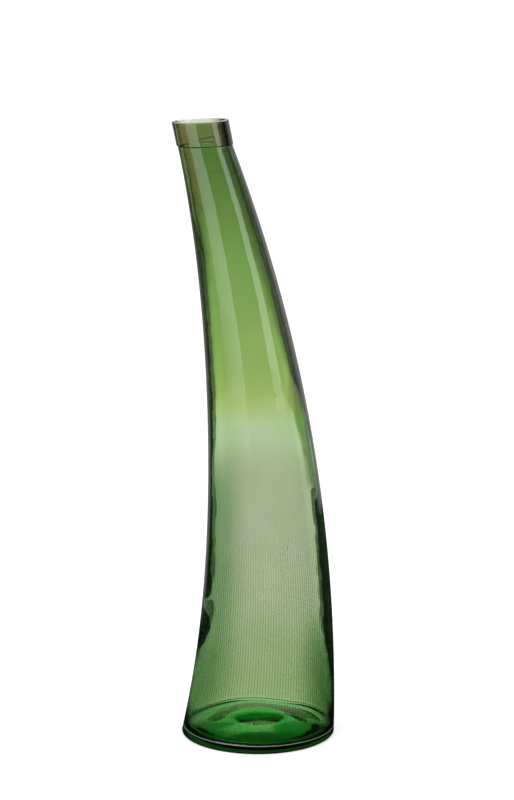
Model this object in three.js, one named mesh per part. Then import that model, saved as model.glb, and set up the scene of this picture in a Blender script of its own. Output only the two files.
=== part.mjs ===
// Tall vase of blown green glass: a bottle that sways to one side above a thick, pushed-up foot,
// with a ring of glass laid on the neck as its mouth.
//
// Millimetres, +Z up. The origin is the centre of the foot on the surface that the vase stands on,
// and the neck leans towards -X.

import * as THREE from "three";
import { mergeVertices } from "three/addons/utils/BufferGeometryUtils.js";

// Heights of the three pieces, measured along Z at the middle of each section
const footHeight = 11;
const wallHeight = 711;
const collarHeight = 29;

// Outside of the body: its radius at the floor and at the top of the neck, with the radii
// that draw the flank in between
const footRadius = 94.2;
const lowerFlankRadius = 74.7;
const middleFlankRadius = 67.8;
const upperFlankRadius = 47.9;
const neckRadius = 32.5;

// Sway of the body: how far the middle of a section lies from the middle of the foot, with the
// distances that draw the sway in between
const lowerSway = 22.6;
const middleSway = 11.9;
const upperSway = -9.6;

// The side of the neck that leans out ends this far beyond the edge of the foot
const neckOverhang = 0.5;

// Sections near the top dip a little towards the lean
const neckDipDegrees = 1.5;
const mouthDipDegrees = 2.4;
const collarLeanDegrees = 11.3;
const dipGrowth = 3;

// Glass of the wall, from the foot up to the neck
const footWall = 4.2;
const lowerWall = 2.8;
const middleWall = 3;
const upperWall = 5.6;
const neckWall = 5.2;
const neckEdgeRadius = 0.9;

// Floor of the cavity and underside of the foot
const floorHeight = 8;
const floorFillet = 8;
const domeHeight = 23;
const heelRadius = 3;
const restingWidth = 17;
const puntHeight = 11;
const puntTopRadius = 26;

// Ring of the mouth: it stands a little proud of the neck
const collarStep = 1.3;
const rimWall = 4.4;
const collarEdgeRadius = 0.8;
const rimRadius = 0.9;

// Fineness of the surfaces
const segmentsAround = 60;
const wallSteps = 16;
const domeSteps = 7;
const puntSteps = 5;
const arcSteps = 3;

// Share of the floor's radius over which its dome levels out, and the punt's share at each end
const domeLevelShare = 0.5;
const puntLevelShare = 0.5;

// Directions in a half section, in degrees from the outward one
const downDegrees = -90;
const upDegrees = 90;
const inDegrees = 180;

const bodyHeight = footHeight + wallHeight;
const neckSway = neckRadius - footRadius - neckOverhang;
const collarRadius = neckRadius + collarStep;
const mouthRadius = collarRadius - rimWall;

const bodyGlass = new THREE.MeshStandardMaterial({
  color: 0x7fae5a,
  roughness: 0.05,
  metalness: 0,
  transparent: true,
  opacity: 0.6,
});
const footGlass = new THREE.MeshStandardMaterial({
  color: 0x0f5a1c,
  roughness: 0.05,
  metalness: 0,
  transparent: true,
  opacity: 0.85,
});
const collarGlass = new THREE.MeshStandardMaterial({
  color: 0x3f7d3a,
  roughness: 0.06,
  metalness: 0,
  transparent: true,
  opacity: 0.75,
});

// Smooth curve through height: it starts at the first value, ends at the last one and is
// drawn towards those between them.
function drawnValue(values, share) {
  let row = values;
  while (row.length > 1) {
    row = row.slice(1).map((value, index) => THREE.MathUtils.lerp(row[index], value, share));
  }
  return row[0];
}

function bodyShare(height) {
  return THREE.MathUtils.clamp(height / bodyHeight, 0, 1);
}

function outerRadius(height) {
  const radii = [footRadius, lowerFlankRadius, middleFlankRadius, upperFlankRadius, neckRadius];
  return drawnValue(radii, bodyShare(height));
}

function innerRadius(height) {
  const walls = [footWall, lowerWall, middleWall, upperWall, neckWall];
  return outerRadius(height) - drawnValue(walls, bodyShare(height));
}

function swayAt(height) {
  const sways = [0, lowerSway, middleSway, upperSway, neckSway];
  const aboveNeck = Math.max(height - bodyHeight, 0);
  const collarLean = Math.tan(THREE.MathUtils.degToRad(collarLeanDegrees));
  return drawnValue(sways, bodyShare(height)) - aboveNeck * collarLean;
}

function dipSlopeAt(height) {
  const neckSlope = Math.tan(THREE.MathUtils.degToRad(neckDipDegrees));
  const mouthSlope = Math.tan(THREE.MathUtils.degToRad(mouthDipDegrees));
  const collarShare = Math.max(height - bodyHeight, 0) / collarHeight;
  const slope = neckSlope * bodyShare(height) ** dipGrowth;
  return THREE.MathUtils.lerp(slope, mouthSlope, collarShare);
}

// Turns an outline of (radius, height) points into a closed solid that sways with the body.
function swayingSolid(outline) {
  const geometry = new THREE.LatheGeometry(outline, segmentsAround);
  geometry.rotateX(Math.PI / 2);
  geometry.deleteAttribute("normal");
  geometry.deleteAttribute("uv");
  const position = geometry.getAttribute("position");
  for (let index = 0; index < position.count; index += 1) {
    const across = position.getX(index);
    const height = position.getZ(index);
    position.setX(index, across + swayAt(height));
    position.setZ(index, height + dipSlopeAt(height) * across);
  }
  const solid = mergeVertices(geometry);
  solid.computeVertexNormals();
  return solid;
}

// Points of an arc, from one angle to another in degrees, about a middle at (radius, height).
function arcPoints(middleRadius, middleHeight, radius, startDegrees, endDegrees) {
  return Array.from({ length: arcSteps + 1 }, (_, step) => {
    const degrees = THREE.MathUtils.lerp(startDegrees, endDegrees, step / arcSteps);
    const angle = THREE.MathUtils.degToRad(degrees);
    return new THREE.Vector2(
      middleRadius + radius * Math.cos(angle),
      middleHeight + radius * Math.sin(angle),
    );
  });
}

// Points up a flank between two heights, both ends included.
function flankPoints(radiusAt, fromHeight, toHeight, steps) {
  return Array.from({ length: steps + 1 }, (_, step) => {
    const height = THREE.MathUtils.lerp(fromHeight, toHeight, step / steps);
    return new THREE.Vector2(radiusAt(height), height);
  });
}

// Points of a curve that is level at both ends, from the axis out to a radius.
function levelCurve(fromRadius, fromHeight, toRadius, toHeight, levelShare, steps) {
  const reach = (toRadius - fromRadius) * levelShare;
  const curve = new THREE.CubicBezierCurve(
    new THREE.Vector2(fromRadius, fromHeight),
    new THREE.Vector2(fromRadius + reach, fromHeight),
    new THREE.Vector2(toRadius - reach, toHeight),
    new THREE.Vector2(toRadius, toHeight),
  );
  return curve.getPoints(steps);
}

// Points of a rounded cap, from its edge in to its top on the axis.
function capPoints(edge, topHeight, levelShare, steps) {
  const curve = new THREE.QuadraticBezierCurve(
    edge,
    new THREE.Vector2(edge.x * levelShare, topHeight),
    new THREE.Vector2(0, topHeight),
  );
  return curve.getPoints(steps);
}

// The fillet between the floor and the wall is cut by the joint of the foot and the wall. It runs
// on under the edge of the dome until it has the dome's slope.
const filletTop = floorHeight + floorFillet;
const filletMiddle = innerRadius(filletTop) - floorFillet;
const jointDegrees = THREE.MathUtils.radToDeg(Math.asin((footHeight - filletTop) / floorFillet));
const domeRun = THREE.MathUtils.lerp(filletMiddle, 0, domeLevelShare);
const domeSlopeDegrees = THREE.MathUtils.radToDeg(Math.atan((domeHeight - floorHeight) / domeRun));
const filletEndDegrees = downDegrees - domeSlopeDegrees;

// Thick round foot: pushed up in the middle, it rests on a flat ring inside its rounded heel.
function makeFoot() {
  const restingEdge = footRadius - heelRadius;
  const puntEdge = restingEdge - restingWidth;
  const fillet = arcPoints(filletMiddle, filletTop, floorFillet, jointDegrees, filletEndDegrees);
  const outline = [
    new THREE.Vector2(0, puntHeight),
    ...levelCurve(puntTopRadius, puntHeight, puntEdge, 0, puntLevelShare, puntSteps),
    ...arcPoints(outerRadius(heelRadius) - heelRadius, heelRadius, heelRadius, downDegrees, 0),
    new THREE.Vector2(outerRadius(footHeight), footHeight),
    ...fillet,
    ...capPoints(fillet.at(-1), domeHeight, domeLevelShare, domeSteps).slice(1),
  ];
  const foot = new THREE.Mesh(swayingSolid(outline), footGlass);
  foot.name = "heavy_foot";
  return foot;
}

// Blown wall from the joint with the foot up to the level end of the neck.
function makeWall() {
  const neckEdge = bodyHeight - neckEdgeRadius;
  const neckArcMiddle = outerRadius(neckEdge) - neckEdgeRadius;
  const outline = [
    ...flankPoints(outerRadius, footHeight, neckEdge, wallSteps),
    ...arcPoints(neckArcMiddle, neckEdge, neckEdgeRadius, 0, upDegrees).slice(1),
    ...flankPoints(innerRadius, bodyHeight, filletTop, wallSteps),
    ...arcPoints(filletMiddle, filletTop, floorFillet, 0, jointDegrees).slice(1),
  ];
  outline.push(outline[0].clone());
  const wall = new THREE.Mesh(swayingSolid(outline), bodyGlass);
  wall.name = "blown_wall";
  return wall;
}

// Ring of glass on the end of the neck, with soft edges and a rounded rim.
function makeCollar() {
  const lowEdge = bodyHeight + collarEdgeRadius;
  const collarTop = bodyHeight + collarHeight;
  const rimEdge = collarTop - rimRadius;
  const outline = [
    new THREE.Vector2(mouthRadius, bodyHeight),
    ...arcPoints(collarRadius - collarEdgeRadius, lowEdge, collarEdgeRadius, downDegrees, 0),
    ...arcPoints(collarRadius - rimRadius, rimEdge, rimRadius, 0, upDegrees),
    ...arcPoints(mouthRadius + rimRadius, rimEdge, rimRadius, upDegrees, inDegrees),
  ];
  outline.push(outline[0].clone());
  const collar = new THREE.Mesh(swayingSolid(outline), collarGlass);
  collar.name = "mouth_collar";
  return collar;
}

const vase = new THREE.Group();
vase.name = "vase";
vase.add(makeFoot(), makeWall(), makeCollar());

export default vase;
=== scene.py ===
"""Tall curved vase of blown green glass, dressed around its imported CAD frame.

Metres, +Z up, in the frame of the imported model: the origin is the middle of the foot on the
floor, and the neck leans towards -X.
"""

import logging
import math
from dataclasses import dataclass
from enum import Enum
from typing import Any, Callable, Iterable, Sequence, Union

import bmesh
import bpy
import numpy as np
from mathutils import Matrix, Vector


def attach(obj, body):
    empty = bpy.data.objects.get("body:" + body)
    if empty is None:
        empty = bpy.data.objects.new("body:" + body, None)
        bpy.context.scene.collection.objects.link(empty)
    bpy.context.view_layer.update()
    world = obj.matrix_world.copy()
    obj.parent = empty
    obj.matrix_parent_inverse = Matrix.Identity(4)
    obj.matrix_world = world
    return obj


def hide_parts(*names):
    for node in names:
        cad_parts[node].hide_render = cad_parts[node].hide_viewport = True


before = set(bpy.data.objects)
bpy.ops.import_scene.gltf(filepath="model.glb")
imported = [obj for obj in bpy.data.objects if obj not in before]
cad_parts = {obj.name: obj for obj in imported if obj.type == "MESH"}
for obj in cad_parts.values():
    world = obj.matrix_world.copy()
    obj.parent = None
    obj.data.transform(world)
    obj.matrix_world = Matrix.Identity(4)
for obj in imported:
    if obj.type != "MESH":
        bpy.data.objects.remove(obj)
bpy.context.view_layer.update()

log = logging.getLogger("vase")

Number = Union[int, float]
Value = Union["Socket", Number]
Span = tuple[Number, Number]
Colour = tuple[float, float, float]
Point = tuple[float, float, float]
Outline = list[tuple[float, float]]
Tints = tuple[tuple[float, Colour], ...]
Starts = tuple[tuple[float, float, float], ...]

MERGE_DISTANCE = 1e-6
WHITE = (1.0, 1.0, 1.0)

# Height at which the colours along the vase end
RAMP_HEIGHT = 0.76

# A Mix node's sockets for colours, by number, because its other data types share their names
MIX_FIRST = 6
MIX_SECOND = 7
MIX_RESULT = 2

# Directions in a half section, in degrees from the outward one
DOWN = -90
OUT = 0
UP = 90
IN = 180
FULL_TURN = 360


class Node(str, Enum):
    """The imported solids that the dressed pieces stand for."""

    FOOT = "heavy_foot"
    WALL = "blown_wall"
    COLLAR = "mouth_collar"


class Slot(str, Enum):
    """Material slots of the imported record."""

    BODY = "body_glass"
    COLLAR = "collar_glass"


class Split(str, Enum):
    """Nodes that part a vector or a colour into three numbers."""

    VECTOR = "ShaderNodeSeparateXYZ"
    COLOUR = "ShaderNodeSeparateColor"


# Shader expressions


class Graph:
    """A material's or the world's node tree, with one way to add any node."""

    def __init__(self, tree: bpy.types.NodeTree) -> None:
        """Empties the tree.

        Args:
            tree: The node tree that is filled.
        """
        self.tree = tree
        tree.nodes.clear()

    def node(
        self,
        kind: str,
        settings: dict[str, Any] | None = None,
        inputs: dict[Union[str, int], Any] | None = None,
        stops: Sequence[tuple[float, Colour]] = (),
    ) -> bpy.types.Node:
        """Adds a node.

        Args:
            kind: The node's type, such as "ShaderNodeMath".
            settings: Attributes that are set before the sockets.
            inputs: Values or Socket links by socket name or number.
            stops: A colour ramp's stops, as (position, colour).

        Returns:
            The new node.
        """
        made = self.tree.nodes.new(kind)
        for name, value in (settings or {}).items():
            setattr(made, name, value)
        for index, (position, colour) in enumerate(stops):
            ramp = made.color_ramp.elements
            element = ramp[index] if index < len(ramp) else ramp.new(position)
            element.position = position
            element.color = (*colour, 1.0)
        for name, value in (inputs or {}).items():
            target = made.inputs[name]
            if isinstance(value, Socket):
                self.tree.links.new(value.output, target)
            else:
                target.default_value = value
        return made

    def out(self, kind: str, output: Union[str, int] = 0, **more: Any) -> "Socket":
        """Adds a node and gives one of its outputs.

        Args:
            kind: The node's type.
            output: The output's name or number.
            **more: What node() takes.

        Returns:
            That output, ready for expressions.
        """
        return Socket(self, self.node(kind, **more).outputs[output])

    def parts(self, whole: "Socket", split: Split = Split.VECTOR) -> tuple["Socket", ...]:
        """Parts a vector or a colour.

        Args:
            whole: What is parted.
            split: The node that does it.

        Returns:
            The three numbers.
        """
        made = self.node(split.value, inputs={0: whole})
        return tuple(Socket(self, output) for output in made.outputs)


class Socket:
    """An output of a node that Python's operators work on."""

    def __init__(self, graph: Graph, output: bpy.types.NodeSocket) -> None:
        """Keeps the output and its graph."""
        self.graph = graph
        self.output = output

    def _math(self, operation: str, *values: Value) -> "Socket":
        """Adds a Math node on these values."""
        inputs = dict(enumerate(values))
        return self.graph.out("ShaderNodeMath", settings={"operation": operation}, inputs=inputs)

    def __add__(self, other: Value) -> "Socket":
        """This plus other."""
        return self._math("ADD", self, other)

    def __radd__(self, other: Number) -> "Socket":
        """Other plus this."""
        return self._math("ADD", other, self)

    def __sub__(self, other: Value) -> "Socket":
        """This minus other."""
        return self._math("SUBTRACT", self, other)

    def __rsub__(self, other: Number) -> "Socket":
        """Other minus this."""
        return self._math("SUBTRACT", other, self)

    def __mul__(self, other: Value) -> "Socket":
        """This times other."""
        return self._math("MULTIPLY", self, other)

    def __rmul__(self, other: Number) -> "Socket":
        """Other times this."""
        return self._math("MULTIPLY", other, self)

    def __truediv__(self, other: Value) -> "Socket":
        """This divided by other."""
        return self._math("DIVIDE", self, other)

    def larger(self, other: Value) -> "Socket":
        """The larger of this and other."""
        return self._math("MAXIMUM", self, other)

    def smaller(self, other: Value) -> "Socket":
        """The smaller of this and other."""
        return self._math("MINIMUM", self, other)

    def size(self) -> "Socket":
        """This without its sign."""
        return self._math("ABSOLUTE", self)

    def ramp(self, span: Span) -> "Socket":
        """Goes smoothly from 0 to 1 along a span of this number.

        Args:
            span: Where it is 0 and where it is 1, of which either may be the lower number.

        Returns:
            The share of the way.
        """
        low, high = span
        if low > high:
            return 1.0 - self.ramp((high, low))
        return self.graph.out(
            "ShaderNodeMapRange",
            settings={"interpolation_type": "SMOOTHSTEP"},
            inputs={"Value": self, "From Min": low, "From Max": high},
        )

    def stops(self, stops: Sequence[tuple[float, Colour]]) -> "Socket":
        """A colour from a ramp whose places are this number's values."""
        return self.graph.out("ShaderNodeValToRGB", inputs={"Fac": self}, stops=stops)

    def mix(self, first: Any, second: Any) -> "Socket":
        """A colour that goes from first to second as this goes from 0 to 1."""
        return self._blend("MIX", first, second)

    def multiply(self, first: Any, second: Any) -> "Socket":
        """A colour that goes from first to first times second as this goes from 0 to 1."""
        return self._blend("MULTIPLY", first, second)

    def grey_times(self, colour: "Socket") -> "Socket":
        """A colour with each part times this."""
        inputs = {0: colour, "Scale": self}
        return self.graph.out("ShaderNodeVectorMath", settings={"operation": "SCALE"}, inputs=inputs)

    def _blend(self, blend: str, first: Any, second: Any) -> "Socket":
        """Adds a Mix node for two colours.

        Args:
            blend: How the node mixes them.
            first: The colour where this is 0.
            second: The colour that is mixed in.

        Returns:
            The mixed colour.
        """
        made = self.graph.node(
            "ShaderNodeMix",
            settings={"data_type": "RGBA", "blend_type": blend},
            inputs={
                "Factor": self,
                MIX_FIRST: colour_value(first),
                MIX_SECOND: colour_value(second),
            },
        )
        return Socket(self.graph, made.outputs[MIX_RESULT])


def colour_value(value: Any) -> Any:
    """A colour as a socket takes it: a link as it is, and three numbers with an alpha of 1."""
    return value if isinstance(value, Socket) else (*value, 1.0)


# The blown form


def drawn_value(values: Sequence[float], share: np.ndarray) -> np.ndarray:
    """A smooth curve that starts at the first value and ends at the last.

    Args:
        values: The two ends, with the values that draw the curve between them.
        share: Places along the curve, from 0 to 1.

    Returns:
        The curve's value at each place.
    """
    row = [np.full_like(share, value) for value in values]
    while len(row) > 1:
        row = [a + (b - a) * share for a, b in zip(row, row[1:])]
    return row[0]


def smooth_step(value: np.ndarray, span: Span) -> np.ndarray:
    """Goes smoothly from 0 to 1 along a span.

    Args:
        value: The numbers that are placed along the span.
        span: Where it is 0 and where it is 1.

    Returns:
        The share of the way for each number.
    """
    low, high = span
    share = np.clip((value - low) / (high - low), 0.0, 1.0)
    return share * share * (3 - 2 * share)


@dataclass
class BlownForm:
    """Sizes of the whole vase and the curves that every piece follows."""

    body_height: float = 0.722
    collar_height: float = 0.029
    radii: tuple[float, ...] = (0.0942, 0.0747, 0.0678, 0.0479, 0.0325)
    sways: tuple[float, ...] = (0.0, 0.0226, 0.0119, -0.0096, -0.0622)
    walls: tuple[float, ...] = (0.0042, 0.0028, 0.0030, 0.0056, 0.0052)
    neck_dip: float = math.radians(1.5)
    mouth_dip: float = math.radians(2.4)
    collar_lean: float = math.radians(11.3)
    dip_growth: int = 3

    def share(self, height: np.ndarray) -> np.ndarray:
        """How far up the body a height lies, from 0 at the floor to 1 at the neck's end."""
        return np.clip(height / self.body_height, 0.0, 1.0)

    def outer(self, height: np.ndarray) -> np.ndarray:
        """Outer radius of the body at a height."""
        return drawn_value(self.radii, self.share(height))

    def inner(self, height: np.ndarray) -> np.ndarray:
        """Radius of the cavity at a height above the floor's fillet."""
        return self.outer(height) - drawn_value(self.walls, self.share(height))

    def outer_at(self, height: float) -> float:
        """Outer radius of the body at one height."""
        return float(self.outer(np.array(height)))

    def inner_at(self, height: float) -> float:
        """Radius of the cavity at one height."""
        return float(self.inner(np.array(height)))

    def sway(self, height: np.ndarray) -> np.ndarray:
        """How far the middle of a section lies from the middle of the foot."""
        above = np.maximum(height - self.body_height, 0.0)
        return drawn_value(self.sways, self.share(height)) - above * math.tan(self.collar_lean)

    def dip(self, height: np.ndarray) -> np.ndarray:
        """Slope of a section.

        Args:
            height: Heights on the vase.

        Returns:
            The slope at each height, down towards the lean.
        """
        slope = math.tan(self.neck_dip) * self.share(height) ** self.dip_growth
        above = np.maximum(height - self.body_height, 0.0) / self.collar_height
        return slope + (math.tan(self.mouth_dip) - slope) * above

    def bent(self, points: np.ndarray) -> np.ndarray:
        """Moves upright points to where the swaying vase has them.

        Args:
            points: Rows of x, y and z about an upright axis.

        Returns:
            The same rows, moved.
        """
        moved = points.copy()
        height = points[:, 2]
        moved[:, 0] = points[:, 0] + self.sway(height)
        moved[:, 2] = height + self.dip(height) * points[:, 0]
        return moved


def arc(
    middle: tuple[float, float], radius: float, start: float, end: float, steps: int
) -> Outline:
    """Points of an arc.

    Args:
        middle: The arc's middle as (radius from the axis, height).
        radius: The arc's own radius.
        start: First angle in degrees, from the outward direction.
        end: Last angle in degrees.
        steps: Number of steps.

    Returns:
        The points as (radius, height), both ends included.
    """
    angles = np.radians(np.linspace(start, end, steps + 1))
    return [(middle[0] + radius * math.cos(a), middle[1] + radius * math.sin(a)) for a in angles]


def flank(
    radius_at: Callable[[np.ndarray], np.ndarray], start: float, end: float, steps: int
) -> Outline:
    """Points along a flank between two heights, close together near both ends.

    Args:
        radius_at: Gives the radius at each of an array of heights.
        start: First height.
        end: Last height.
        steps: Number of steps.

    Returns:
        The points as (radius, height), both ends included.
    """
    heights = start + (end - start) * (1 - np.cos(np.linspace(0.0, math.pi, steps + 1))) / 2
    return list(zip(radius_at(heights).tolist(), heights.tolist()))


def level_curve(
    start: tuple[float, float], end: tuple[float, float], share: float, steps: int
) -> Outline:
    """Points of a curve that is level at both ends.

    Args:
        start: First point as (radius, height).
        end: Last point.
        share: The share of the reach over which each end levels out.
        steps: Number of steps.

    Returns:
        The points, both ends included.
    """
    along = np.linspace(0.0, 1.0, steps + 1)
    reach = end[0] - start[0]
    radius = drawn_value((start[0], start[0] + reach * share, end[0] - reach * share, end[0]), along)
    height = drawn_value((start[1], start[1], end[1], end[1]), along)
    return list(zip(radius.tolist(), height.tolist()))


def cap(edge: tuple[float, float], top: float, steps: int) -> Outline:
    """Points of a rounded cap, from its edge to its top on the axis.

    Args:
        edge: The edge as (radius, height).
        top: Height of the top.
        steps: Number of steps.

    Returns:
        The points, both ends included.
    """
    along = np.linspace(0.0, 1.0, steps + 1)
    radius = drawn_value((edge[0], edge[0] / 2, 0.0), along)
    height = drawn_value((edge[1], top, top), along)
    return list(zip(radius.tolist(), height.tolist()))


def turned_mesh(name: str, outline: Outline, steps: int) -> bpy.types.Mesh:
    """Rolls a grid into a closed skin about the Z axis, one row of it for each point of an outline.

    Args:
        name: Name of the mesh.
        outline: Points as (radius, height), in order. They start and end on the axis, or the last
            is the first again.
        steps: Number of steps round the axis.

    Returns:
        A closed mesh with its faces pointing out.
    """
    bm = bmesh.new()
    bmesh.ops.create_grid(bm, x_segments=steps, y_segments=len(outline) - 1, size=1.0)
    rows = np.array(outline)
    for vert in bm.verts:
        angle = (vert.co.x + 1.0) * math.pi
        radius, height = rows[round((vert.co.y + 1.0) / 2 * (len(rows) - 1))]
        vert.co = (radius * math.sin(angle), -radius * math.cos(angle), height)
    bmesh.ops.remove_doubles(bm, verts=bm.verts[:], dist=MERGE_DISTANCE)
    bmesh.ops.dissolve_degenerate(bm, dist=MERGE_DISTANCE, edges=bm.edges[:])
    bmesh.ops.recalc_face_normals(bm, faces=bm.faces[:])
    mesh = bpy.data.meshes.new(name)
    bm.to_mesh(mesh)
    bm.free()
    mesh.shade_smooth()
    return mesh


def points_of(mesh: bpy.types.Mesh) -> np.ndarray:
    """The places of a mesh's vertices.

    Args:
        mesh: The mesh.

    Returns:
        Rows of x, y and z.
    """
    points = np.zeros((len(mesh.vertices), 3))
    mesh.vertices.foreach_get("co", points.ravel())
    return points


def put_points(mesh: bpy.types.Mesh, points: np.ndarray) -> None:
    """Moves a mesh's vertices to these rows of x, y and z."""
    mesh.vertices.foreach_set("co", points.ravel())
    mesh.update()


# Finishes, with painted light and shade


class Mark(str, Enum):
    """Numbers that a mesh keeps for its finish."""

    SIDE = "side"
    FRONT = "front"
    RIB = "rib"
    FLOOR = "floor"
    BEAD = "bead"
    HEIGHT = "height"


def put_values(mesh: bpy.types.Mesh, mark: Mark, values: np.ndarray) -> None:
    """Keeps a number for each vertex, for a finish to read."""
    made = mesh.attributes.new(mark.value, "FLOAT", "POINT")
    made.data.foreach_set("value", values.astype(np.float32))


class Place:
    """What the finishes read of a point: its place, its marks and how far it turns away."""

    def __init__(self, graph: Graph) -> None:
        """Adds the nodes that read the point.

        Args:
            graph: The material's graph.
        """
        self.graph = graph
        self.object = graph.out("ShaderNodeTexCoord", output="Object")
        self.x, self.y, self.z = graph.parts(self.object)
        self.side = self._mark(Mark.SIDE)
        self.front = self._mark(Mark.FRONT)
        self.rib = self._mark(Mark.RIB)
        self.floor = self._mark(Mark.FLOOR)
        self.bead = self._mark(Mark.BEAD)
        self.height = self._mark(Mark.HEIGHT)
        self.turned = graph.out("ShaderNodeLayerWeight", output="Facing", inputs={"Blend": 0.5})

    def _mark(self, mark: Mark) -> Socket:
        """One of the numbers that the mesh keeps."""
        settings = {"attribute_name": mark.value}
        return self.graph.out("ShaderNodeAttribute", output="Fac", settings=settings)

    def noise(self, scale: float, detail: float = 3.0) -> Socket:
        """Soft spots from 0 to 1, finer where the scale is larger."""
        inputs = {"Vector": self.object, "Scale": scale, "Detail": detail}
        return self.graph.out("ShaderNodeTexNoise", output="Fac", inputs=inputs)

    def wander(self, scale: float, reach: float) -> Socket:
        """Soft spots that go half the reach either way."""
        return (self.noise(scale) - 0.5) * reach


@dataclass(frozen=True)
class CreaseShade:
    """Painted shade along a thin fold across the front of the glass, given by its ends as (x, z)."""

    start: tuple[float, float]
    end: tuple[float, float]
    width: float
    depth: float
    fade_widths: float = 4.0
    fronts: Span = (0.0, 0.3)

    def mask(self, place: Place) -> Socket:
        """How deep the painted shade of the fold is at each point.

        Args:
            place: What the finish reads of a point.

        Returns:
            0 away from the fold and up to its depth in its middle.
        """
        run = self.end[0] - self.start[0]
        rise = self.end[1] - self.start[1]
        length = math.hypot(run, rise)
        across_x = place.x - self.start[0]
        across_z = place.z - self.start[1]
        along = across_x * (run / length) + across_z * (rise / length)
        off = (across_z * (run / length) - across_x * (rise / length)).size()
        fade = self.width * self.fade_widths
        ends = along.ramp((0.0, fade)) * along.ramp((length, length - fade))
        return off.ramp((self.width, 0.0)) * ends * place.front.ramp(self.fronts) * self.depth


@dataclass(frozen=True)
class LightAndShadeZone:
    """A part of the glass painted lighter or darker, standing in for light and shade, inside soft
    borders.
    """

    colour: Colour
    heights: Span
    sides: Span | None = None
    fronts: Span | None = None

    def mask(self, place: Place) -> Socket:
        """How far a point belongs to the zone.

        Args:
            place: What the finish reads of a point.

        Returns:
            A number from 0 to 1.
        """
        mask = place.height.ramp(self.heights)
        if self.sides is not None:
            mask = place.side.ramp(self.sides) * mask
        if self.fronts is not None:
            mask = place.front.ramp(self.fronts) * mask
        return mask


@dataclass(frozen=True)
class FloorTint:
    """Greens of the thick floor, darkened at the front by painted shade and lightened towards the back
    and beside the middle by painted light.
    """

    middle: Colour = (0.09, 0.80, 0.32)
    front: Colour = (0.02, 0.58, 0.10)
    back: Colour = (0.80, 1.00, 0.95)
    front_border: Span = (-0.070, -0.030)
    back_border: Span = (0.025, 0.055)
    beside_border: Span = (0.015, 0.055)
    beside_start: Span = (-0.035, -0.005)

    def colour(self, place: Place) -> Socket:
        """The floor's green.

        Args:
            place: What the finish reads of a point.

        Returns:
            The colour at the point.
        """
        green = place.y.ramp(self.front_border).mix(self.front, self.middle)
        beside = place.x.size().ramp(self.beside_border) * place.y.ramp(self.beside_start)
        return place.y.ramp(self.back_border).larger(beside).mix(green, self.back)


def along_height(height: Socket, values: Iterable[tuple[float, Colour]]) -> Socket:
    """Colours that change with the height on the vase.

    Args:
        height: The height at each point.
        values: The colours, as (height, colour).

    Returns:
        The colour at each point.
    """
    stops = [(at / RAMP_HEIGHT, colour) for at, colour in values]
    return (height * (1 / RAMP_HEIGHT)).stops(stops)


@dataclass(frozen=True)
class TurnedShade:
    """Painted shade where the glass turns away, standing in for the dark surroundings seen through its
    edges: in a broad band, and black in a ragged edge.

    The bands and edges give, by height, how far the glass turns before each begins. A turn is 0
    where the glass faces the eye and 1 where it is seen edge on.
    """

    bands: Starts
    edges: Starts
    band_tint: Colour = (0.44, 0.35, 0.46)
    low_band_tint: Colour = (0.36, 0.45, 0.25)
    tint_border: Span = (0.40, 0.43)
    edge_tint: Colour = (0.004, 0.012, 0.004)
    upper_edge_tint: Colour = (0.06, 0.04, 0.07)
    upper_border: Span = (0.36, 0.46)
    wander_scale: float = 55.0
    wander_reach: float = 0.12
    middle: Span = (-0.1, 0.1)
    low_heights: Span = (0.44, 0.40)
    reach: Span = (0.2, 0.5)
    low_reach: Span = (0.55, 0.72)
    left_end: Span = (0.34, 0.40)
    right_end: Span = (0.292, 0.312)
    sharpness: float = 5.0
    low_sharpness: float = 11.0
    sharpness_border: Span = (0.40, 0.45)
    edge_width: float = 0.02
    edge_delay: float = 0.25
    edge_reach: Span = (0.85, 0.70)

    def shaded(self, place: Place, tint: Socket) -> Socket:
        """Paints shade into a tint where the glass turns away.

        Args:
            place: What the finish reads of a point.
            tint: The colour that it has where it faces the eye.

        Returns:
            The darkened colour.
        """
        turned = place.turned + place.wander(self.wander_scale, self.wander_reach)
        across = place.side.size()
        right = place.side.ramp(self.middle)
        low = place.height.ramp(self.low_heights)
        reach = across.ramp(self.reach) * (1.0 - low) + across.ramp(self.low_reach) * low
        softer = place.height.ramp(self.sharpness_border) * (self.sharpness - self.low_sharpness)
        sharpness = self.low_sharpness + softer
        left_end = place.height.ramp(self.left_end)
        end = left_end + (place.height.ramp(self.right_end) - left_end) * right
        band = ((turned - self.start(place, self.bands)) * sharpness).ramp((0.0, 1.0)) * reach * end
        edge_start = self.start(place, self.edges) + across.ramp(self.edge_reach) * self.edge_delay
        edge = (turned - edge_start).ramp((0.0, self.edge_width))
        band_tint = place.height.ramp(self.tint_border).mix(self.low_band_tint, self.band_tint)
        edge_tint = place.height.ramp(self.upper_border).mix(self.edge_tint, self.upper_edge_tint)
        return edge.multiply(band.multiply(tint, band_tint), edge_tint)

    def start(self, place: Place, starts: Starts) -> Socket:
        """How far the glass turns before a shade begins.

        Args:
            place: What the finish reads of a point.
            starts: The turns, as (height, turn on the left, turn on the right).

        Returns:
            The turn at the point's height and side.
        """
        pairs = [(height, (left, right, 0.0)) for height, left, right in starts]
        left, right, _ = place.graph.parts(along_height(place.height, pairs), Split.COLOUR)
        return left + (right - left) * place.side.ramp(self.middle)


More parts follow.
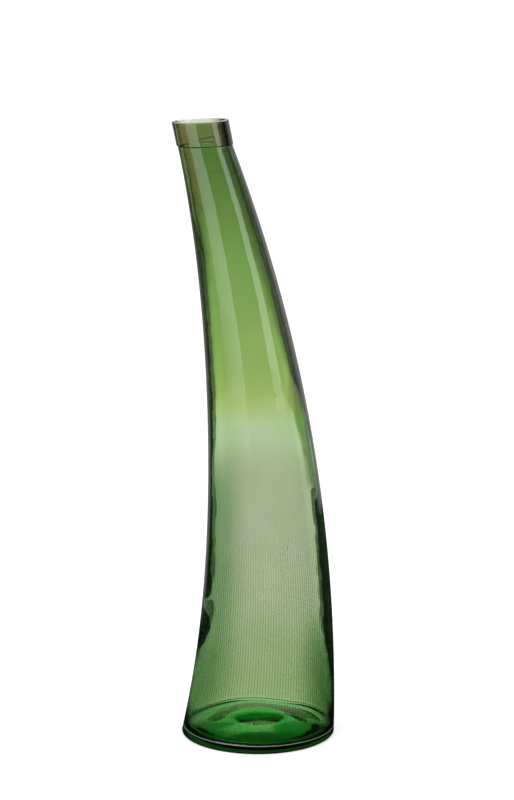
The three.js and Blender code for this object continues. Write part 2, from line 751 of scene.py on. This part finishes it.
@dataclass(frozen=True)
class Glass:
    """Blown glass: green where light travels far in it, with painted shade where it turns away.

    Heights are along the vase, sides run from -1 at the left to 1 at the right, and fronts from
    -1 at the back to 1 at the front.
    """

    name: str
    tints: Tints
    turned_shade: TurnedShade
    crease_shades: tuple[CreaseShade, ...] = ()
    absorption: Colour = (0.42, 0.84, 0.36)
    density: float = 150.0
    refraction: float = 1.5
    # Painted light and shade by zone: shade on the left of the lower body, brownish shade on the left of
    # the neck, shade on the right of the lower flank, light at the back of the foot, shade at the front
    # of the heel, and a highlight on the far side of the rim
    left: LightAndShadeZone = LightAndShadeZone((0.64, 0.79, 0.66), heights=(0.36, 0.30), sides=(-0.25, -0.95))
    brown: LightAndShadeZone = LightAndShadeZone((0.64, 0.46, 0.34), heights=(0.61, 0.69), sides=(-0.50, -0.72))
    flank: LightAndShadeZone = LightAndShadeZone((0.52, 0.68, 0.52), heights=(0.16, 0.09), sides=(0.45, 0.90))
    back: LightAndShadeZone = LightAndShadeZone((1.0, 1.0, 1.0), heights=(0.018, 0.008), fronts=(0.0, -0.3))
    heel: LightAndShadeZone = LightAndShadeZone((0.03, 0.28, 0.05), heights=(0.0125, 0.0105), fronts=(-0.2, 0.3))
    rim: LightAndShadeZone = LightAndShadeZone((1.0, 0.85, 0.85), heights=(0.742, 0.747), fronts=(-0.3, -0.6))
    floor: FloorTint = FloorTint()
    mottle_scale: float = 15.0
    mottle_reach: float = 0.035
    bead_colour: Colour = (0.17, 0.22, 0.17)
    bead_span: Span = (0.45, 0.95)
    seam_height: float = 0.722
    seam_width: float = 0.0010
    seam_shade: float = 0.96
    seam_fronts: Span = (-0.1, 0.2)
    rib_shade: float = 0.32
    rib_turn_limit: float = 0.5
    back_rib_share: float = 0.1
    rib_fronts: Span = (-0.2, 0.2)
    wave_scale: float = 22.0
    wave_detail: float = 1.0
    wave_depth: float = 0.0006
    grain_scale: float = 300.0
    grain_span: Span = (0.45, 0.75)
    grain_roughness: float = 0.015

    def tint(self, place: Place) -> Socket:
        """Colour that one crossing of the surface gives.

        Args:
            place: What the finish reads of a point.

        Returns:
            The colour.
        """
        mottle = place.wander(self.mottle_scale, self.mottle_reach)
        tint = along_height(place.height + mottle, self.tints)
        # Painted shade and light by zone
        tint = self.left.mask(place).multiply(tint, self.left.colour)
        tint = self.brown.mask(place).mix(tint, self.brown.colour)
        tint = self.flank.mask(place).multiply(tint, self.flank.colour)
        tint = self.back.mask(place).mix(tint, self.back.colour)
        tint = self.heel.mask(place).mix(tint, self.heel.colour)
        # The thick floor's green, with painted shade at the front and painted light at the back and
        # beside the middle
        tint = place.floor.mix(tint, self.floor.colour(place))
        # Painted highlight on the far side of the rim
        tint = self.rim.mask(place).mix(tint, self.rim.colour)
        # Painted shade in the ribs' grooves and along the neck's joint with the ring
        shade = (1.0 - self.ribs(place)) * (1.0 - self.seam(place))
        # Painted shade along folds
        for crease in self.crease_shades:
            shade = shade * (1.0 - crease.mask(place))
        return self.turned_shade.shaded(place, shade.grey_times(tint))

    def ribs(self, place: Place) -> Socket:
        """Painted shade in the ribs' grooves, which shows less in the back wall and more where the glass
        turns away.

        Args:
            place: What the finish reads of a point.

        Returns:
            A number from 0 to 1.
        """
        shade = self.rib_shade + place.turned.smaller(self.rib_turn_limit)
        front = (1 - self.back_rib_share) * place.front.ramp(self.rib_fronts)
        return place.rib * shade * (self.back_rib_share + front)

    def seam(self, place: Place) -> Socket:
        """Painted shade along the joint of the neck and the mouth's ring, at its front.

        Args:
            place: What the finish reads of a point.

        Returns:
            A number from 0 to 1.
        """
        off = (place.height - self.seam_height).size().ramp((self.seam_width, self.seam_width / 2))
        return off * place.front.ramp(self.seam_fronts) * self.seam_shade

    def material(self) -> bpy.types.Material:
        """Builds the material.

        Returns:
            Clear glass with green absorption, frosted along the bead.
        """
        made = bpy.data.materials.new(self.name)
        made.use_nodes = True
        graph = Graph(made.node_tree)
        place = Place(graph)
        waves = place.noise(self.wave_scale, self.wave_detail)
        grain = place.noise(self.grain_scale).ramp(self.grain_span) * self.grain_roughness
        bump = graph.out(
            "ShaderNodeBump",
            output="Normal",
            inputs={"Height": waves, "Distance": self.wave_depth, "Strength": 1.0},
        )
        clear = graph.out(
            "ShaderNodeBsdfPrincipled",
            inputs={
                "Base Color": self.tint(place),
                "Roughness": grain,
                "IOR": self.refraction,
                "Transmission Weight": 1.0,
                "Normal": bump,
            },
        )
        frosted = graph.out("ShaderNodeBsdfDiffuse", inputs={"Color": colour_value(self.bead_colour)})
        bead = place.bead.ramp(self.bead_span)
        both = graph.out("ShaderNodeMixShader", inputs={0: bead, 1: clear, 2: frosted})
        volume = graph.out(
            "ShaderNodeVolumeAbsorption",
            inputs={"Color": colour_value(self.absorption), "Density": self.density},
        )
        graph.node("ShaderNodeOutputMaterial", inputs={"Surface": both, "Volume": volume})
        return made


# Pieces of the vase


def placed(
    mesh: bpy.types.Mesh, material: bpy.types.Material, nodes: Iterable[Node]
) -> bpy.types.Object:
    """Puts a finished mesh in the scene, dressed and riding on the vase.

    Args:
        mesh: The finished mesh, in place.
        material: Its finish.
        nodes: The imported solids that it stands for.

    Returns:
        The new object.
    """
    made = bpy.data.objects.new(mesh.name, mesh)
    bpy.context.scene.collection.objects.link(made)
    mesh.materials.append(material)
    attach(made, "root")
    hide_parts(*(node.value for node in nodes))
    return made


def put_marks(
    mesh: bpy.types.Mesh,
    rib: np.ndarray | None = None,
    floor: np.ndarray | None = None,
    bead: np.ndarray | None = None,
) -> None:
    """Keeps on an upright mesh which way each point lies from the axis, and what it belongs to.

    Args:
        mesh: The mesh, still about the Z axis.
        rib: The depth of the ribs at each point, from 0 to 1, where it has them.
        floor: 1 at each point of the floor, inside and underneath, where it has one.
        bead: How near each point is to the crest of the foot's bead, from 0 to 1.
    """
    points = points_of(mesh)
    radius = np.maximum(np.hypot(points[:, 0], points[:, 1]), MERGE_DISTANCE)
    put_values(mesh, Mark.SIDE, points[:, 0] / radius)
    put_values(mesh, Mark.FRONT, -points[:, 1] / radius)
    put_values(mesh, Mark.HEIGHT, points[:, 2])
    for mark, values in ((Mark.RIB, rib), (Mark.FLOOR, floor), (Mark.BEAD, bead)):
        put_values(mesh, mark, np.zeros(len(points)) if values is None else values)


@dataclass(frozen=True)
class Seed:
    """A small bubble of air in the wall, slightly drawn out.

    The side runs from -1 at the left to 1 at the right of the front wall.
    """

    side: float
    height: float
    radius: float = 0.0006
    stretch: float = 1.5
    subdivisions: int = 2

    def add(self, bm: bmesh.types.BMesh, form: BlownForm) -> None:
        """Adds the bubble's skin, facing in, to the upright mesh of the wall.

        Args:
            bm: The wall's mesh.
            form: The vase's sizes.
        """
        ball = bmesh.ops.create_icosphere(bm, subdivisions=self.subdivisions, radius=self.radius)
        made = ball["verts"]
        depth = (form.outer_at(self.height) + form.inner_at(self.height)) / 2
        angle = math.asin(self.side)
        place = Vector((depth * math.sin(angle), -depth * math.cos(angle), self.height))
        bmesh.ops.scale(bm, vec=(1.0, 1.0, self.stretch), verts=made)
        bmesh.ops.translate(bm, vec=place, verts=made)
        faces = {face for vert in made for face in vert.link_faces}
        bmesh.ops.reverse_faces(bm, faces=list(faces))


@dataclass(frozen=True)
class Wave:
    """A soft wave of the lining, by how often it comes in a round and how fast it climbs."""

    around: int
    climb: float
    start: float = 0.0

    def at(self, angle: np.ndarray, height: np.ndarray) -> np.ndarray:
        """How far the wave stands in at each point, from -1 to 1."""
        return np.sin(self.around * angle + self.climb * height + self.start)


@dataclass
class BlownBody:
    """Foot and wall, blown in one: one skin of glass from the punt to the neck and down inside.

    The bead runs round above the heel, in a shallow hollow whose spread is in widths of the bead.
    Ribs and waves fade in and out over spans of height. The margin keeps the outside within the
    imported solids.
    """

    form: BlownForm
    floor_height: float = 0.008
    floor_fillet: float = 0.008
    dome_height: float = 0.023
    heel_radius: float = 0.003
    resting_width: float = 0.017
    punt_height: float = 0.011
    punt_top_radius: float = 0.026
    punt_level_share: float = 0.5
    neck_edge_radius: float = 0.0009
    rib_count: int = 156
    rib_depth: float = 0.00004
    rib_start: Span = (0.009, 0.018)
    rib_end: Span = (0.16, 0.38)
    bead_height: float = 0.0100
    bead_depth: float = 0.0004
    bead_width: float = 0.0007
    bead_spread: float = 7.0
    bead_end: float = 0.020
    wave_depth: float = 0.0004
    wave_start: Span = (0.023, 0.069)
    wave_end: Span = (0.5776, 0.722)
    waves: tuple[Wave, ...] = (Wave(3, 41.0), Wave(5, -67.0, 1.0), Wave(2, 120.0))
    margin: float = 0.0001
    steps_per_rib: int = 4
    punt_steps: int = 6
    heel_steps: int = 6
    below_bead_steps: int = 12
    above_bead_steps: int = 14
    wall_steps: int = 44
    neck_edge_steps: int = 4
    lining_steps: int = 36
    fillet_steps: int = 9
    dome_steps: int = 14
    seeds: tuple[Seed, ...] = ()

    def outline(self) -> Outline:
        """Half section of the body.

        Returns:
            Points from the punt's middle, over the outside and the neck, to the floor's middle.
        """
        return [*self.underside(), *self.outside(), *self.neck_edge(), *self.inside()]

    def underside(self) -> Outline:
        """The underside with the rounded heel.

        Returns:
            Points from the punt's middle to the heel's upper end.
        """
        resting_edge = self.form.radii[0] - self.heel_radius
        heel_middle = (self.form.outer_at(self.heel_radius) - self.heel_radius, self.heel_radius)
        punt_top = (self.punt_top_radius, self.punt_height)
        punt_edge = (resting_edge - self.resting_width, 0.0)
        return [
            (0.0, self.punt_height),
            *level_curve(punt_top, punt_edge, self.punt_level_share, self.punt_steps),
            *arc(heel_middle, self.heel_radius, DOWN, OUT, self.heel_steps),
        ]

    def outside(self) -> Outline:
        """The outside, which has more points about the bead.

        Returns:
            Points from the heel up to the neck's edge.
        """
        outer = self.form.outer
        neck_edge = self.form.body_height - self.neck_edge_radius
        return [
            *flank(outer, self.heel_radius, self.bead_height, self.below_bead_steps)[1:],
            *flank(outer, self.bead_height, self.bead_end, self.above_bead_steps)[1:],
            *flank(outer, self.bead_end, neck_edge, self.wall_steps)[1:],
        ]

    def neck_edge(self) -> Outline:
        """The neck's end, rounded on both sides.

        Returns:
            Points from the outside over the end to the lining.
        """
        radius = self.neck_edge_radius
        height = self.form.body_height - radius
        outer_middle = (self.form.outer_at(height) - radius, height)
        inner_middle = (self.form.inner_at(height) + radius, height)
        return [
            *arc(outer_middle, radius, OUT, UP, self.neck_edge_steps)[1:],
            *arc(inner_middle, radius, UP, IN, self.neck_edge_steps),
        ]

    def inside(self) -> Outline:
        """The lining, the fillet at its foot and the domed floor.

        Returns:
            Points from the neck down to the floor's middle.
        """
        neck_edge = self.form.body_height - self.neck_edge_radius
        fillet_top = self.floor_height + self.floor_fillet
        fillet_middle = (self.form.inner_at(fillet_top) - self.floor_fillet, fillet_top)
        rise = self.dome_height - self.floor_height
        slope = math.degrees(math.atan(2 * rise / fillet_middle[0]))
        fillet = arc(fillet_middle, self.floor_fillet, OUT, DOWN - slope, self.fillet_steps)
        return [
            *flank(self.form.inner, neck_edge, fillet_top, self.lining_steps)[1:],
            *fillet[1:],
            *cap(fillet[-1], self.dome_height, self.dome_steps)[1:],
        ]

    def floor(self, points: np.ndarray) -> np.ndarray:
        """Which points are the floor's, inside or underneath.

        Args:
            points: Rows of x, y and z about the upright axis.

        Returns:
            1 well inside the floor's edge and 0 outside it.
        """
        inside = self.form.inner_at(self.floor_height) - np.hypot(points[:, 0], points[:, 1])
        low = points[:, 2] < self.dome_height + self.margin
        return np.where(low, smooth_step(inside, (0.0, self.floor_fillet)), 0.0)

    def shaped(self, points: np.ndarray) -> tuple[np.ndarray, np.ndarray, np.ndarray]:
        """Presses ribs and a bead into the outside and gives the lining its soft waves.

        Args:
            points: Rows of x, y and z about the upright axis.

        Returns:
            The same rows, moved, how deep the ribs are at each and how near the bead is, from 0 to 1.
        """
        radius = np.hypot(points[:, 0], points[:, 1])
        height = points[:, 2]
        angle = np.arctan2(points[:, 1], points[:, 0])
        outside = radius > (self.form.outer(height) + self.form.inner(height)) / 2

        fade = smooth_step(height, self.rib_start) * (1 - smooth_step(height, self.rib_end))
        rib = np.where(outside, (1 - np.cos(self.rib_count * angle)) / 2 * fade, 0.0)

        wall = smooth_step(height, self.wave_start) * (1 - smooth_step(height, self.wave_end))
        swell = sum(wave.at(angle, height) for wave in self.waves) / len(self.waves)

        off_bead = (height - self.bead_height) / self.bead_width
        bead = np.where(outside, np.exp(-(off_bead**2)), 0.0)
        hollow = np.where(outside, np.exp(-((off_bead / self.bead_spread) ** 2)), 0.0) - bead

        inward = self.rib_depth * rib + self.bead_depth * hollow
        inward += np.where(outside, self.margin, self.wave_depth * wall * swell)
        scale = 1 - inward / np.maximum(radius, self.heel_radius)
        return points * np.stack([scale, scale, np.ones_like(scale)], axis=1), rib, bead

    def build(self, finish: Glass) -> bpy.types.Object:
        """Builds and dresses the body.

        Args:
            finish: The glass that it is made of.

        Returns:
            The new object.
        """
        mesh = turned_mesh("blown_body", self.outline(), self.rib_count * self.steps_per_rib)
        upright = points_of(mesh)
        shaped, rib, bead = self.shaped(upright)
        put_points(mesh, shaped)
        bm = bmesh.new()
        bm.from_mesh(mesh)
        for seed in self.seeds:
            seed.add(bm, self.form)
        bm.to_mesh(mesh)
        bm.free()
        unmarked = np.zeros(len(mesh.vertices) - len(upright))
        marks = (rib, self.floor(upright), bead)
        put_marks(mesh, *(np.append(values, unmarked) for values in marks))
        put_points(mesh, self.form.bent(points_of(mesh)))
        return placed(mesh, finish.material(), (Node.FOOT, Node.WALL))


@dataclass
class MouthRing:
    """The ring of glass laid on the end of the neck.

    The step is how far it stands proud, and the seam is the thin gap above the neck. The margin
    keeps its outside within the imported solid.
    """

    form: BlownForm
    step: float = 0.0013
    rim_wall: float = 0.0044
    edge_radius: float = 0.0008
    rim_radius: float = 0.0009
    seam: float = 0.0001
    margin: float = 0.0001
    steps_round: int = 240
    side_steps: int = 14
    edge_steps: int = 5
    rim_steps: int = 8

    def outline(self) -> Outline:
        """Section of the ring.

        Returns:
            A loop of points, from the lower end inside, outwards and over the rim.
        """
        edge = self.edge_radius
        rim = self.rim_radius
        outer = self.form.radii[-1] + self.step - self.margin
        inner = outer + self.margin - self.rim_wall
        low = self.form.body_height + self.seam + edge
        top = self.form.body_height + self.form.collar_height - rim
        outside = flank(lambda height: np.full_like(height, outer), low, top, self.side_steps)
        inside = flank(lambda height: np.full_like(height, inner), top, low, self.side_steps)
        return [
            *arc((inner + edge, low), edge, IN, DOWN + FULL_TURN, self.edge_steps),
            *arc((outer - edge, low), edge, DOWN, OUT, self.edge_steps),
            *outside[1:],
            *arc((outer - rim, top), rim, OUT, UP, self.rim_steps)[1:],
            *arc((inner + rim, top), rim, UP, IN, self.rim_steps),
            *inside[1:],
        ]

    def build(self, finish: Glass) -> bpy.types.Object:
        """Builds and dresses the ring.

        Args:
            finish: The glass that it is made of.

        Returns:
            The new object.
        """
        mesh = turned_mesh("mouth_ring", self.outline(), self.steps_round)
        put_marks(mesh)
        put_points(mesh, self.form.bent(points_of(mesh)))
        return placed(mesh, finish.material(), (Node.COLLAR,))


# Studio


@dataclass(frozen=True)
class Rays:
    """1 for the rays of one kind, and 0 for others.

    Straight rays have gone through glass without being mirrored in it, inside ones were mirrored
    within it, and mirrored ones come off its surface.
    """

    camera: Socket
    straight: Socket
    inside: Socket
    mirrored: Socket

    @classmethod
    def of(cls, graph: Graph) -> "Rays":
        """Adds the nodes that tell the rays apart.

        Args:
            graph: The graph that reads them.

        Returns:
            A socket for each kind.
        """
        path = graph.node("ShaderNodeLightPath")
        through = Socket(graph, path.outputs["Is Transmission Ray"])
        inside = Socket(graph, path.outputs["Glossy Depth"]).smaller(1.0) * through
        return cls(
            camera=Socket(graph, path.outputs["Is Camera Ray"]),
            straight=through - inside,
            inside=inside,
            mirrored=Socket(graph, path.outputs["Is Glossy Ray"]) * (1.0 - through),
        )


@dataclass(frozen=True)
class Surroundings:
    """White surroundings behind, a dim room in front, and soft light above.

    Borders are given in the parts of a ray's direction, each from -1 to 1.
    """

    sky: float = 0.95
    sky_heights: Span = (0.34, 0.27)
    sky_depths: Span = (-0.2, 0.1)
    room: float = 0.03
    backdrop: float = 0.65
    backdrop_turn: float = math.radians(7.0)
    backdrop_border: Span = (0.42, 0.95)
    backdrop_colour: Colour = (1.0, 0.90, 1.0)
    overhead: float = 6.0
    overhead_heights: Span = (0.30, 0.45)
    softbox: float = 3.6
    softbox_low: Span = (0.53, 0.58)
    softbox_high: Span = (0.76, 0.71)
    softbox_middle: float = -0.065
    softbox_border: Span = (0.20, 0.12)
    softbox_colour: Colour = (0.70, 1.0, 0.75)
    echo: float = 0.12
    behind_border: Span = (0.0, 0.1)

    def build(self) -> None:
        """Builds the world."""
        world = bpy.data.worlds.new("studio")
        bpy.context.scene.world = world
        world.use_nodes = True
        graph = Graph(world.node_tree)
        rays = Rays.of(graph)
        across, behind, up = graph.parts(graph.out("ShaderNodeTexCoord", output="Generated"))
        softbox = up.ramp(self.softbox_low) * up.ramp(self.softbox_high)
        softbox = softbox * behind.ramp(self.behind_border)
        softbox = softbox * (across - self.softbox_middle).size().ramp(self.softbox_border)
        sky = up.ramp(self.sky_heights)
        echo = (sky * behind.ramp(self.sky_depths)).larger(softbox * self.softbox)
        echo = echo.larger(behind.ramp(self.behind_border) * self.echo)
        strength = (
            self.sky
            + rays.camera * (1.0 - self.sky)
            + rays.straight * (sky.larger(softbox) - self.sky)
            + rays.inside * (echo - self.sky)
            + rays.mirrored * (self.room_at(across, behind, up) - self.sky)
        )
        colour = rays.mirrored.mix(WHITE, self.backdrop_colour)
        colour = (rays.inside * softbox).mix(colour, self.softbox_colour)
        light = graph.out("ShaderNodeBackground", inputs={"Color": colour, "Strength": strength})
        graph.node("ShaderNodeOutputWorld", inputs={"Surface": light})

    def room_at(self, across: Socket, behind: Socket, up: Socket) -> Socket:
        """How bright the room looks in a mirrored ray.

        Args:
            across: The ray's part to the right.
            behind: Its part to the back.
            up: Its part upwards.

        Returns:
            The strength.
        """
        turn = self.backdrop_turn
        facing = across * math.sin(turn) + behind * math.cos(turn)
        room = facing.ramp(self.backdrop_border) * self.backdrop + self.room
        return room.larger(up.ramp(self.overhead_heights) * self.overhead)


@dataclass(frozen=True)
class FloorFinish:
    """Pale floor, lit as usual for the camera, and for glass a painted glow: a pool of light under the
    vase, a painted shadow round the front of its foot and bright patches far behind in its reflections.

    Borders are in metres from the middle of the foot, but those around it are of the distance's
    square. Turns are how far a point lies to the right for each metre to the back.
    """

    name: str = "pale_floor"
    colour: Colour = (0.9, 0.9, 0.9)
    glow: float = 0.3
    around_squares: Span = (0.009, 0.018)
    around_start: Span = (-0.01, 0.03)
    behind_border: Span = (0.05, 0.15)
    under: float = 0.5
    under_front: float = 0.3
    under_depths: Span = (-0.055, -0.015)
    under_border: Span = (0.085, 0.06)
    mirrored: float = 0.01
    least_depth: float = 0.01
    sides: Span = (-0.1, 0.1)
    far: float = 0.28
    far_right: float = 0.17
    far_border: Span = (0.45, 0.75)
    far_right_delay: float = 0.8
    far_left_turn: Span = (-0.90, -0.65)
    far_right_turn: Span = (1.6, 1.0)

    def material(self) -> bpy.types.Material:
        """Builds the material.

        Returns:
            A pale surface for the camera, and a painted glow and shadow where glass shows the floor.
        """
        made = bpy.data.materials.new(self.name)
        made.use_nodes = True
        graph = Graph(made.node_tree)
        rays = Rays.of(graph)
        across, back, _ = graph.parts(graph.out("ShaderNodeTexCoord", output="Object"))
        strength = (
            rays.camera * self.glow
            + self.through(rays, across, back)
            + rays.mirrored * self.mirrored_at(across, back)
        )
        diffuse = graph.out("ShaderNodeBsdfDiffuse", inputs={"Color": colour_value(self.colour)})
        glow_inputs = {"Color": colour_value(WHITE), "Strength": strength}
        glow = graph.out("ShaderNodeEmission", inputs=glow_inputs)
        lit = graph.out("ShaderNodeAddShader", inputs={0: diffuse, 1: glow})
        by_glass = rays.mirrored + rays.straight + rays.inside
        both = graph.out("ShaderNodeMixShader", inputs={0: by_glass, 1: lit, 2: glow})
        graph.node("ShaderNodeOutputMaterial", inputs={"Surface": both})
        return made

    def through(self, rays: Rays, across: Socket, back: Socket) -> Socket:
        """The painted glow and shadow that the floor shows through glass: a pool of light under the
        vase, dark round the front of its foot.

        Args:
            rays: The kinds of rays.
            across: How far a point lies to the right.
            back: How far it lies to the back.

        Returns:
            The strength, which is 0 for other rays.
        """
        square = across * across + back * back
        around = square.ramp(self.around_squares).larger(back.ramp(self.around_start))
        under = back.ramp(self.under_depths) * (1.0 - self.under_front) + self.under_front
        under = under * across.size().ramp(self.under_border) * self.under
        behind = back.ramp(self.behind_border)
        return rays.straight * under.larger(around) + rays.inside * under.larger(behind)

    def mirrored_at(self, across: Socket, back: Socket) -> Socket:
        """The painted glow that the floor shows mirrored in glass: bright patches far behind, brighter
        on the right.

        Args:
            across: How far a point lies to the right.
            back: How far it lies to the back.

        Returns:
            The strength.
        """
        right = across.ramp(self.sides)
        turn = across / back.larger(self.least_depth)
        far = (back - right * self.far_right_delay).ramp(self.far_border)
        far = far * turn.ramp(self.far_left_turn) * turn.ramp(self.far_right_turn)
        return far * (self.far + self.far_right * right) + self.mirrored


@dataclass(frozen=True)
class Panel:
    """A soft upright lamp, placed round the vase.

    The azimuth is in degrees from the front, and grows to the right.
    """

    name: str
    azimuth: float
    distance: float
    low: float
    high: float
    width: float
    brightness: float
    fade_height: float = 0.24
    fade_steps: int = 6

    def build(self) -> None:
        """Adds the panel, which fades towards its lower end."""
        step = self.fade_height / self.fade_steps
        for index in range(self.fade_steps):
            low = self.low + index * step
            self.strip(low, low + step, self.brightness * (index + 0.5) / self.fade_steps)
        self.strip(self.low + self.fade_height, self.high, self.brightness)

    def strip(self, low: float, high: float, brightness: float) -> bpy.types.Object:
        """Adds an evenly bright part of the panel, facing the vase.

        Args:
            low: Height of its lower edge.
            high: Height of its upper edge.
            brightness: How bright it looks.

        Returns:
            The lamp.
        """
        light = bpy.data.lights.new(self.name, "AREA")
        light.shape = "RECTANGLE"
        light.size = self.width
        light.size_y = high - low
        light.energy = brightness * math.pi * light.size * light.size_y
        lamp = bpy.data.objects.new(self.name, light)
        bpy.context.scene.collection.objects.link(lamp)
        angle = math.radians(self.azimuth)
        across = self.distance * math.sin(angle)
        back = -self.distance * math.cos(angle)
        lamp.location = (across, back, (low + high) / 2)
        lamp.rotation_euler = Vector((-across, -back, 0.0)).to_track_quat("-Z", "Y").to_euler()
        lamp.visible_camera = False
        lamp.visible_transmission = False
        return lamp


@dataclass
class Studio:
    """Pale floor, surroundings, soft lamps and the camera at the photograph's place."""

    camera_place: Point = (-0.0009, -3.0, 1.006)
    camera_pitch: float = math.radians(90 - 11.14)
    lens: float = 114.3
    sensor: float = 36.0
    floor_size: float = 60.0
    floor_finish: FloorFinish = FloorFinish()
    surroundings: Surroundings = Surroundings()
    transmission_bounces: int = 32
    glossy_bounces: int = 16
    panels: tuple[Panel, ...] = (
        Panel("wide_panel", azimuth=-43.0, distance=1.5, low=0.18, high=1.2, width=1.25, brightness=2.3),
        Panel("narrow_panel", azimuth=59.0, distance=2.5, low=0.47, high=1.8, width=1.0, brightness=3.0),
    )

    def build_floor(self) -> bpy.types.Object:
        """Adds the floor that the vase stands on.

        Returns:
            The new object.
        """
        bm = bmesh.new()
        bmesh.ops.create_grid(bm, x_segments=1, y_segments=1, size=self.floor_size / 2)
        mesh = bpy.data.meshes.new("floor")
        bm.to_mesh(mesh)
        bm.free()
        floor = bpy.data.objects.new("floor", mesh)
        bpy.context.scene.collection.objects.link(floor)
        mesh.materials.append(self.floor_finish.material())
        return floor

    def build_camera(self) -> bpy.types.Object:
        """Adds the camera and makes it the scene's own.

        Returns:
            The new object.
        """
        data = bpy.data.cameras.new("camera")
        data.lens = self.lens
        data.sensor_width = self.sensor
        camera = bpy.data.objects.new("camera", data)
        bpy.context.scene.collection.objects.link(camera)
        camera.location = self.camera_place
        camera.rotation_euler = (self.camera_pitch, 0.0, 0.0)
        bpy.context.scene.camera = camera
        return camera

    def build(self) -> None:
        """Builds the whole studio."""
        self.build_camera()
        self.surroundings.build()
        self.build_floor()
        for panel in self.panels:
            panel.build()
        scene = bpy.context.scene
        scene.view_settings.view_transform = "Standard"
        scene.cycles.max_bounces = self.transmission_bounces
        scene.cycles.transmission_bounces = self.transmission_bounces
        scene.cycles.glossy_bounces = self.glossy_bounces


# Tint of the body's glass by height: heel, lower flank, greyish middle, pale waist, yellow shoulder,
# green upper body and darker neck. Most of these numbers come from a program that compared renders with
# the photograph
# The greyish, paler tints up to the waist are partly a painted reflection: a pale veil standing in for
# bright light mirrored in the lower body
BODY_TINTS_AND_PAINTED_VEIL = (
    (0.0, (0.70, 0.78, 0.62)),
    (0.02, (0.83, 0.77, 0.67)),
    (0.09, (0.77, 0.74, 0.65)),
    (0.14, (0.88, 0.80, 0.77)),
    (0.24, (0.92, 0.80, 0.81)),
    (0.34, (0.91, 0.79, 0.80)),
    (0.38, (1.00, 0.93, 0.94)),
    (0.40, (0.98, 0.88, 0.80)),
    (0.415, (0.93, 0.82, 0.58)),
    (0.44, (0.82, 0.79, 0.56)),
    (0.585, (0.69, 0.70, 0.49)),
    (0.66, (0.55, 0.57, 0.38)),
    (0.71, (0.47, 0.51, 0.34)),
)

# Where the body's broad band of painted shade begins: the height, and how far the glass turns on the
# left and on the right
BODY_BANDS = (
    (0.34, 0.52, 0.41),
    (0.38, 0.52, 0.32),
    (0.40, 0.50, 0.26),
    (0.44, 0.42, 0.32),
    (0.49, 0.37, 0.25),
    (0.54, 0.34, 0.19),
    (0.59, 0.22, 0.15),
    (0.66, 0.30, 0.13),
)

# Where its painted dark edge begins, which is uneven low down as in hand-blown glass
BODY_EDGES = (
    (0.0, 0.92, 0.72),
    (0.07, 0.90, 0.70),
    (0.110, 0.76, 0.58),
    (0.122, 0.54, 0.485),
    (0.138, 0.485, 0.485),
    (0.156, 0.485, 0.485),
    (0.163, 0.74, 0.485),
    (0.172, 0.74, 0.485),
    (0.180, 0.54, 0.485),
    (0.194, 0.50, 0.485),
    (0.215, 0.56, 0.49),
    (0.270, 0.57, 0.485),
    (0.298, 0.58, 0.485),
    (0.306, 0.62, 0.66),
    (0.35, 0.62, 0.68),
    (0.366, 0.55, 0.66),
    (0.40, 0.54, 0.64),
    (0.425, 0.54, 0.58),
    (0.44, 0.54, 0.485),
    (0.55, 0.53, 0.485),
    (0.58, 0.485, 0.485),
    (0.62, 0.485, 0.485),
    (0.64, 0.56, 0.485),
    (0.75, 0.66, 0.52),
)

# The ring is of one tint and one painted shade all the way up
RING_TINTS = ((0.72, (0.56, 0.50, 0.36)), (0.751, (0.56, 0.50, 0.36)))
RING_BANDS = ((0.72, 0.30, 0.08), (0.751, 0.30, 0.08))
RING_EDGES = ((0.72, 0.60, 0.20), (0.751, 0.60, 0.20))

# Painted shade along thin folds in the front, by their ends as (x, z), with their width and depth
BODY_CREASE_SHADES = (
    CreaseShade((-0.080, 0.667), (-0.062, 0.646), 0.0007, 0.6),
    CreaseShade((-0.0725, 0.624), (-0.063, 0.592), 0.0025, 0.9),
    CreaseShade((-0.060, 0.6935), (-0.034, 0.6945), 0.0008, 0.3),
)
RING_CREASE_SHADES = (
    CreaseShade((-0.0700, 0.7312), (-0.0505, 0.7352), 0.0009, 0.9),
    CreaseShade((-0.0840, 0.7292), (-0.0500, 0.7290), 0.0006, 0.5),
)

# Small bubbles, by side and height, some with a radius of their own
SEEDS = (
    Seed(0.433, 0.430),
    Seed(0.802, 0.362),
    Seed(-0.556, 0.133, 0.0008),
    Seed(0.883, 0.175, 0.0007),
    Seed(-0.082, 0.037, 0.0009),
    Seed(-0.007, 0.031, 0.0006),
    Seed(-0.717, 0.012, 0.0007),
    Seed(0.15, 0.560, 0.0004),
    Seed(-0.30, 0.515, 0.0004),
    Seed(-0.45, 0.300, 0.0005),
    Seed(0.35, 0.250, 0.0005),
)


def main() -> None:
    """Builds the vase and its studio."""
    logging.basicConfig(level=logging.INFO, format="%(name)s: %(message)s")
    Studio().build()
    form = BlownForm()
    body_shade = TurnedShade(BODY_BANDS, BODY_EDGES)
    ring_shade = TurnedShade(RING_BANDS, RING_EDGES)
    body_glass = Glass("blown_glass", BODY_TINTS_AND_PAINTED_VEIL, body_shade, BODY_CREASE_SHADES)
    ring_glass = Glass("ring_glass", RING_TINTS, ring_shade, RING_CREASE_SHADES)
    body = BlownBody(form, seeds=SEEDS).build(body_glass)
    ring = MouthRing(form).build(ring_glass)
    for piece in (body, ring):
        log.info("%s: %d faces", piece.name, len(piece.data.polygons))


if __name__ == "__main__":
    main()
